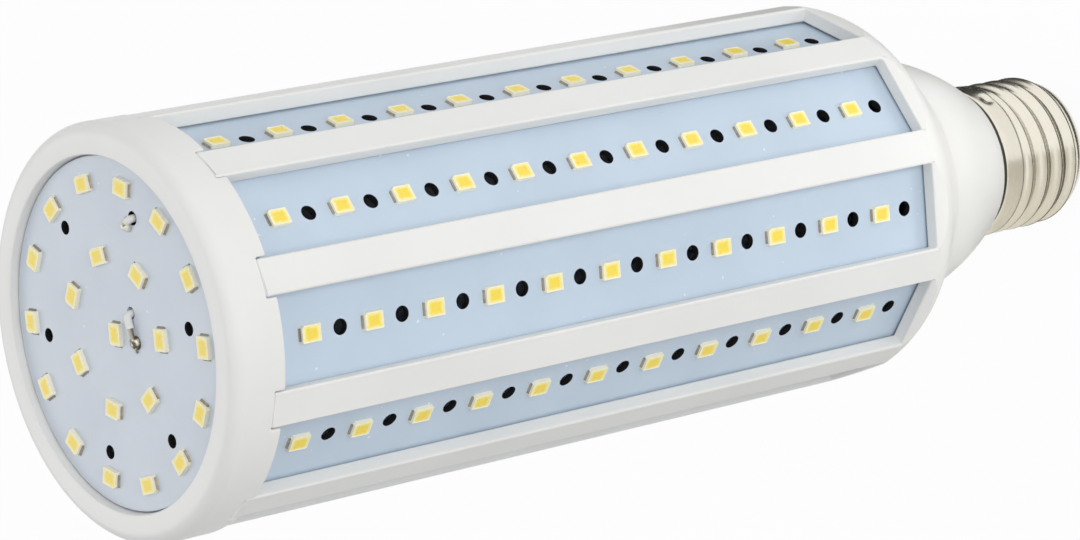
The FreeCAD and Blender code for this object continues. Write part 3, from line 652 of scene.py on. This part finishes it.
def shellMesh():
    bm = bmesh.new()
    columns = []
    for column in range(shell["columns"]):
        turn = 2 * math.pi * column / shell["columns"]
        columns.append([bm.verts.new(Vector((r * math.cos(turn), r * math.sin(turn), z)) * mm)
                        for r, z in shellOutline(turn)])
    skin(bm, columns, True)
    mesh = closeMesh("screwShell", bm)
    mesh.materials.append(finishes["nickel_shell"])
    return roundOff(mesh, smoothBelow["shell"])


def gapShadowMesh():
    low, high, inner, outer = [gapShadow[key] for key in ("from", "to", "inner", "outer")]
    corners = [(low, inner), (low, outer), (high, outer), (high, inner)]
    mesh = stoodUp(ringMesh("rimSeal", corners, gapShadow["sides"]))
    mesh.materials.append(finishes["neckGapShadow"])
    return roundOff(mesh, smoothBelow["gapShadow"])


screwShell = addPiece("screwShell", shellMesh(), "nickel_shell", "screw_shell")
# A dark ring paints the shadow in the gap between neck and shell.
addPiece("rimSeal", gapShadowMesh(), "dark_insulator")
print("shell rolled:", len(screwShell.data.polygons), "faces")

leads = {
    "wire": 0.6, "strand": 0.38, "tail": 0.17, "sides": 14, "face": 200.5, "lift": 201.14, "below": 198.5,
    "feedFoot": (4.989, 2.066, 59.0), "feedHole": (4.989, 2.066), "feedStub": (4.72, -0.2),
    "feedBend": 0.8,  # the sleeve runs straight this far before its end
    "feedPad": (4.39, -2.39), "feedTail": (4.0, -3.9),
    "strandFrom": 0.4, "strandOut": 0.6, "strandDrop": 0.05, "feedEnd": 0.55, "tailEnds": (0.4, 0.2),
    "linkHole": (12.172, 14.978), "linkStub": (11.3, 14.71), "linkPad": (10.41, 14.44), "linkEnd": 0.6,
    "linkJoint": (16.48, 20.91, 196.2), "linkStrip": 54.0,
    "blob": 1.15, "blobTall": 0.95, "uneven": 0.22, "lumps": 1.6,
    "feedSeed": 3.0, "linkSeed": 9.0, "jointSeed": 5.0,  # each blob has its own lumps
    "lineOrder": 3, "lineSteps": 6, "ballSplits": 3,
}
sleeveSlot, strandSlot, fluxedSlot, wipedSlot = range(len(jointFinishes))


def splinePoints(points):
    # Points of a smooth NURBS line through the given control points.
    data = bpy.data.curves.new("route", "CURVE")
    data.dimensions = "3D"
    spline = data.splines.new("NURBS")
    spline.points.add(len(points) - 1)
    for knot, point in zip(spline.points, points):
        knot.co = (*point, 1.0)
    spline.order_u = leads["lineOrder"]
    spline.use_endpoint_u = True
    spline.resolution_u = leads["lineSteps"]
    route = newPiece("route", data)
    line = plainMesh(route)
    found = [vert.co.copy() for vert in line.vertices]
    bpy.data.objects.remove(route)
    return found


def addTube(bm, points, radius, finish):
    run = splinePoints(points)
    side = (run[1] - run[0]).orthogonal().normalized()
    turns = [2 * math.pi * k / leads["sides"] for k in range(leads["sides"])]
    rings = []
    for i, point in enumerate(run):
        along = (run[min(i + 1, len(run) - 1)] - run[max(i - 1, 0)]).normalized()
        side = (side - along * side.dot(along)).normalized()
        other = along.cross(side)
        spokes = [side * math.cos(a) + other * math.sin(a) for a in turns]
        rings.append([bm.verts.new((point + spoke * radius) * mm) for spoke in spokes])
    for face in skin(bm, rings, False):
        face.material_index = finish


def addBlob(bm, middle, up, finish, seed):
    # Solder dome with an uneven skin, flat where it sits on its pad.
    side = up.orthogonal().normalized()
    other = up.cross(side)
    ball = bmesh.ops.create_icosphere(bm, subdivisions=leads["ballSplits"], radius=1.0)["verts"]
    for vert in ball:
        x, y, z = vert.co
        swell = 1 + leads["uneven"] * noise.noise(vert.co * leads["lumps"] + Vector((seed, 0, 0)))
        sides = (side * x + other * y) * leads["blob"] * swell
        vert.co = (middle + sides + up * (max(z, 0.0) * leads["blobTall"] * swell)) * mm
    for face in {face for vert in ball for face in vert.link_faces}:
        face.material_index = finish


def at(spot, height):
    return Vector((spot[0], spot[1], height))


def buildFeed(bm):
    hole, pad, lift, face = leads["feedHole"], leads["feedPad"], leads["lift"], leads["face"]
    end = at(leads["feedStub"], lift)
    addTube(bm, [Vector(leads["feedFoot"]), at(hole, leads["below"]), at(hole, lift),
                 end + Vector((0, leads["feedBend"], 0)), end], leads["wire"], sleeveSlot)
    addTube(bm, [end + Vector((0, leads["strandFrom"], 0)),
                 end + Vector((0, -leads["strandOut"], -leads["strandDrop"])),
                 at(pad, face + leads["feedEnd"])], leads["strand"], strandSlot)
    near, far = leads["tailEnds"]
    addTube(bm, [at(pad, face + near), at(leads["feedTail"], face + far)], leads["tail"], strandSlot)
    addBlob(bm, at(pad, face), upward, fluxedSlot, leads["feedSeed"])


def buildLink(bm):
    hole, pad, lift, face = leads["linkHole"], leads["linkPad"], leads["lift"], leads["face"]
    end, joint = at(leads["linkStub"], lift), Vector(leads["linkJoint"])
    addTube(bm, [end, at(hole, lift), at(hole, leads["below"]), at(hole, joint.z), joint],
            leads["wire"], sleeveSlot)
    addTube(bm, [end, at(pad, face + leads["linkEnd"])], leads["strand"], strandSlot)
    addBlob(bm, at(pad, face), upward, wipedSlot, leads["linkSeed"])
    strip = math.radians(leads["linkStrip"])
    inward = Vector((-math.cos(strip), -math.sin(strip), 0))
    addBlob(bm, joint - inward * leads["wire"], inward, wipedSlot, leads["jointSeed"])


def leadMesh(name, build):
    bm = bmesh.new()
    build(bm)
    mesh = closeMesh(name, bm)
    for finish in jointFinishes:
        mesh.materials.append(finish)
    return roundOff(mesh, smoothBelow["leads"])


addPiece("feedLead", leadMesh("feedLead", buildFeed), "lead_white", "feed_lead")
addPiece("linkLead", leadMesh("linkLead", buildLink), "lead_white", "link_lead")
print("leads soldered")

stage = {"floorSize": 6.0, "floorColour": "#FAFAF8", "floorGlow": 0.95,
         "ambientColour": "#F2F4F8", "ambient": 0.405}
# Painted reflections round the base that only the nickel shows: the black ring under it paints the floor's
# shade there, the black sheet on the key side paints dark lines, and the cream sheet on the fill side paints
# a duller half.
cardShape = {"lift": 0.4, "steps": 24}
paintedReflections = {
    # finish, radius from and to and height of the far edge in mm, turn from and to in degrees
    "underBase": ("blackCard", 15, 28, cardShape["lift"], -180, 180),
    "besideKey": ("blackCard", 28, 100, 20, 80, 155),
    "besideFill": ("creamCard", 28, 200, 110, -150, -16),
}
softBoxes = {
    # direction from the lamp, distance and width in m, power in watts, whether metal mirrors it
    "key": ((0.5, 0.87, 0.3), 1.3, 0.8, 1.5, False),
    "front": ((0.25, 0.1, 1.0), 1.1, 1.1, 2.8, True),
    "fill": ((0.95, -0.12, 0.3), 1.5, 0.9, 7.9, False),
    "back": ((-0.85, 0.15, 0.7), 1.5, 1.0, 4.4, True),
    "low": ((0.95, -0.1, -0.05), 0.3, 0.1, 0.05, False),
    "under": ((0.71, 0.0, -0.7), 0.126, 0.03, 0.012, False),
}
view = {"place": (0.54865, -0.06661, 0.55081), "turn": (-14.539, 50.538, -25.138),
        "lens": 145.06, "sensor": 36, "clip": (0.01, 20)}


def seenDirectly(tree):
    # One for rays from the camera, a mirror or a clear piece, so that they meet the white background.
    path = addNode(tree, "ShaderNodeLightPath").outputs
    either = addNode(tree, "ShaderNodeMath", {"operation": "MAXIMUM"}, None,
                     {0: path["Is Camera Ray"], 1: path["Is Glossy Ray"]})
    return addNode(tree, "ShaderNodeMath", {"operation": "MAXIMUM"}, None,
                   {0: either.outputs[0], 1: path["Is Transmission Ray"]}).outputs[0]


def paleFloor():
    # Matt paper that keeps a soft shadow and glows white to the camera.
    material = bpy.data.materials.new("paleBackdrop")
    material.use_nodes = True
    tree = material.node_tree
    tree.nodes.clear()
    share = addNode(tree, "ShaderNodeMath", {"operation": "MULTIPLY"}, {1: stage["floorGlow"]},
                    {0: seenDirectly(tree)})
    paper = addNode(tree, "ShaderNodeBsdfDiffuse", None, {"Color": hexToLinear(stage["floorColour"])})
    white = addNode(tree, "ShaderNodeEmission", None, {"Strength": 1.0})
    both = addNode(tree, "ShaderNodeMixShader", None, None,
                   {0: share.outputs[0], 1: paper.outputs[0], 2: white.outputs[0]})
    addNode(tree, "ShaderNodeOutputMaterial", None, None, {"Surface": both.outputs[0]})
    return material


def whiteWorld():
    world = bpy.data.worlds.new("studio")
    scene.world = world
    world.use_nodes = True
    tree = world.node_tree
    tree.nodes.clear()
    ambient = addNode(tree, "ShaderNodeBackground", None,
                      {"Color": hexToLinear(stage["ambientColour"]), "Strength": stage["ambient"]})
    white = addNode(tree, "ShaderNodeBackground", None, {"Color": (1, 1, 1, 1), "Strength": 1.0})
    both = addNode(tree, "ShaderNodeMixShader", None, None,
                   {0: seenDirectly(tree), 1: ambient.outputs[0], 2: white.outputs[0]})
    addNode(tree, "ShaderNodeOutputWorld", None, None, {"Surface": both.outputs[0]})


def addFloor():
    half = stage["floorSize"] / 2
    mesh = bpy.data.meshes.new("floor")
    corners = [(-half, -half, 0), (half, -half, 0), (half, half, 0), (-half, half, 0)]
    mesh.from_pydata(corners, [], [(0, 1, 2, 3)])
    mesh.materials.append(paleFloor())
    newPiece("floor", mesh)


def addPaintedReflection(name, finish, near, far, rise, start, stop):
    # Bent sheet round the base on the floor, seen only by mirror rays: a painted reflection, dark where it
    # paints shade.
    steps = cardShape["steps"]
    turns = [math.radians(start + (stop - start) * i / steps) for i in range(steps + 1)]
    edges = ((far, rise), (near, cardShape["lift"]))
    rim = [Vector((r * math.cos(a), r * math.sin(a), z)) * mm for r, z in edges for a in turns]
    mesh = bpy.data.meshes.new(name)
    mesh.from_pydata(rim, [], [(i, i + 1, i + steps + 2, i + steps + 1) for i in range(steps)])
    mesh.materials.append(finishes[finish])
    card = newPiece(name, mesh)
    card.visible_camera = card.visible_diffuse = card.visible_transmission = card.visible_shadow = False


def addSoftBox(name, direction, distance, width, power, mirrored):
    light = bpy.data.lights.new(name, "AREA")
    light.size = width
    light.energy = power
    box = newPiece(name, light)
    toward = Vector(direction).normalized()
    box.location = (Vector(cadBox[0]) + Vector(cadBox[1])) / 2 + toward * distance
    box.rotation_euler = toward.to_track_quat("Z", "Y").to_euler()
    box.visible_camera = False
    box.visible_glossy = mirrored


def addCamera():
    lens = bpy.data.cameras.new("camera")
    lens.lens = view["lens"]
    lens.sensor_width = view["sensor"]
    lens.clip_start, lens.clip_end = view["clip"]
    camera = newPiece("camera", lens)
    camera.location = view["place"]
    camera.rotation_euler = [math.radians(a) for a in view["turn"]]
    scene.camera = camera


addFloor()
whiteWorld()
for name, card in paintedReflections.items():
    addPaintedReflection(name, *card)
for name, box in softBoxes.items():
    addSoftBox(name, *box)
addCamera()
print("stage set")
